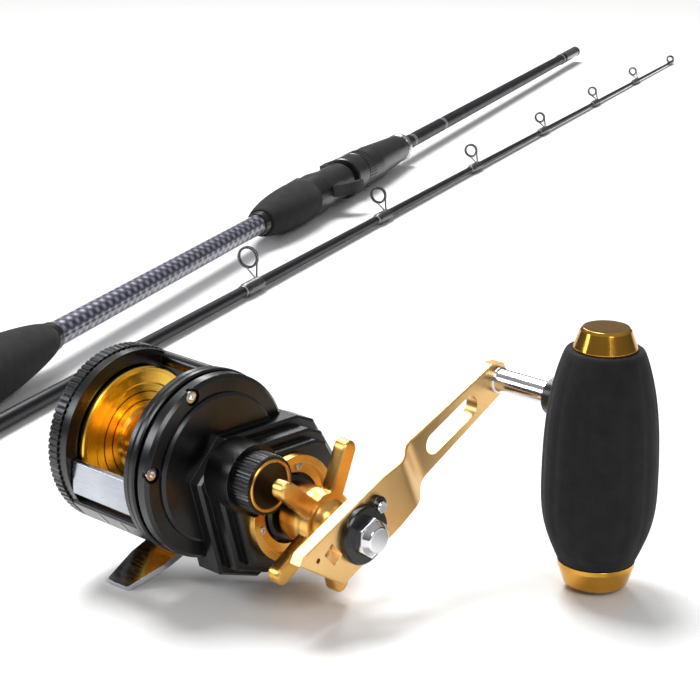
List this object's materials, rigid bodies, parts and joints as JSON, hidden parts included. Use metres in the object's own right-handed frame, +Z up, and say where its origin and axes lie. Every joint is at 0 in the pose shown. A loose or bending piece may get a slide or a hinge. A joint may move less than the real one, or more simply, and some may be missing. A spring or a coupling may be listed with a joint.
{
  "type": "fishing rod and reel",
  "caption": "Two-piece casting rod laid beside a star-drag reel with an offset power handle, foam knob, thumb bar and turning spool.",
  "frame": {"origin": "on the surface that the outfit lies on, under the middle of its bounding box", "axes": "+Z up, +Y along the tip section towards its tip-top, +X to the right, towards the reel's handle side"},
  "size_m": [0.3882, 1.2622, 0.0933],
  "materials": {
    "black_anodised": "semi-gloss black anodised aluminium",
    "gold_anodised": "light gold anodised aluminium",
    "spool_gold": "deep orange-gold anodised aluminium",
    "steel": "brushed stainless steel",
    "chrome": "bright chrome",
    "brass": "machined brass",
    "drag_fibre": "carbon fibre drag washer",
    "foam": "matte closed-cell foam",
    "carbon": "clear-coated dark carbon tube",
    "woven_carbon": "silver and violet woven sleeve under clear coat",
    "seat_black": "gloss black reinforced nylon",
    "silver_ring": "polished aluminium",
    "thread": "lacquered thread winding",
    "ceramic": "polished ceramic ring",
    "core_plastic": "moulded nylon core"
  },
  "bodies": {
    "reel_frame": {"frame": "black_anodised", "left_side_cover": "black_anodised", "left_rim_ring": "black_anodised", "left_cover_screws": "steel", "right_side_plate": "black_anodised", "right_plate_screws": "chrome", "gear_case": "black_anodised", "drive_cover_ring": "gold_anodised", "cover_ring_screws": "chrome", "drive_boss": "black_anodised", "one_way_bearing": "steel", "drive_bearing": "steel", "spool_bearing_left": "steel", "spool_bearing_right": "steel", "reel_foot": "steel", "foot_screws": "steel"},
    "spool": {"spool": "spool_gold", "spool_shaft": "steel", "pinion_gear": "brass"},
    "handle": {"main_gear": "brass", "drag_washers": "drag_fibre", "drive_shaft": "steel", "drive_sleeve": "steel", "star_spring_washers": "steel", "handle_arm": "gold_anodised", "nut_retainer": "black_anodised", "retainer_screw": "chrome", "handle_nut": "chrome", "knob_stem": "chrome"},
    "star": {"star_drag": "gold_anodised"},
    "knob": {"knob_bearings": "steel", "knob_core": "core_plastic", "knob_grip": "foam", "knob_top_cap": "gold_anodised", "knob_bottom_cap": "gold_anodised"},
    "cast_cap": {"cast_control_cap": "black_anodised", "cast_cap_ring": "gold_anodised", "cast_cap_face": "black_anodised"},
    "thumb_bar": {"thumb_bar": "chrome"},
    "butt_section": {"butt_blank": "carbon", "butt_cap": "foam", "butt_grip": "foam", "butt_collar": "black_anodised", "woven_sleeve": "woven_carbon", "rear_collar": "black_anodised", "rear_grip": "foam", "reel_seat": "seat_black", "ferrule_winding": "thread"},
    "moving_hood": {"moving_hood": "seat_black"},
    "seat_nut": {"seat_nut": "seat_black", "fore_ring": "silver_ring"},
    "tip_section": {"tip_blank": "carbon", "ferrule_spigot": "carbon", "guide_frames": "steel", "guide_rings": "ceramic", "guide_windings": "thread", "tip_top": "steel", "tip_top_ring": "ceramic"}
  },
  "joints": [
    {"name": "handle_turn", "type": "hinge", "parent": "reel_frame", "child": "handle", "pos_m": [0.0936, -0.59815, 0.0301], "axis": [0.933, -0.3592, -0.023], "continuous": true},
    {"name": "spool_turn", "type": "hinge", "parent": "reel_frame", "child": "spool", "pos_m": [0.03194, -0.59228, 0.04569], "axis": [0.933, -0.3592, -0.023], "continuous": true},
    {"name": "star_turn", "type": "hinge", "parent": "handle", "child": "star", "pos_m": [0.0936, -0.59815, 0.0301], "axis": [0.933, -0.3592, -0.023], "range_deg": [-180, 180]},
    {"name": "knob_spin", "type": "hinge", "parent": "handle", "child": "knob", "pos_m": [0.17415, -0.54979, 0.06397], "axis": [0.933, -0.3592, -0.023], "continuous": true},
    {"name": "cast_cap_turn", "type": "hinge", "parent": "reel_frame", "child": "cast_cap", "pos_m": [0.07504, -0.60887, 0.04463], "axis": [0.933, -0.3592, -0.023], "range_deg": [-180, 180]},
    {"name": "thumb_bar_press", "type": "slide", "parent": "reel_frame", "child": "thumb_bar", "axis": [-0.0314, -0.0176, -0.9994], "range_m": [0, 0.0028]},
    {"name": "butt_section_lift", "type": "slide", "parent": "reel_frame", "child": "butt_section", "axis": [0, 0, 1], "range_m": [0, 0.25]},
    {"name": "tip_section_lift", "type": "slide", "parent": "reel_frame", "child": "tip_section", "axis": [0, 0, 1], "range_m": [0, 0.25]},
    {"name": "hood_slide", "type": "slide", "parent": "butt_section", "child": "moving_hood", "axis": [-0.0558, 0.9984, -0.0059], "range_m": [0, 0.0061]},
    {"name": "seat_nut_turn", "type": "hinge", "parent": "moving_hood", "child": "seat_nut", "pos_m": [-0.15755, 0.02813, 0.01263], "axis": [-0.0558, 0.9984, -0.0059], "range_deg": [0, 1440]}
  ],
  "couplings": [
    {"joint": "spool_turn", "follows": "handle_turn", "ratio": -5},
    {"joint": "hood_slide", "follows": "seat_nut_turn", "m_per_rad": 0.00023873}
  ]
}
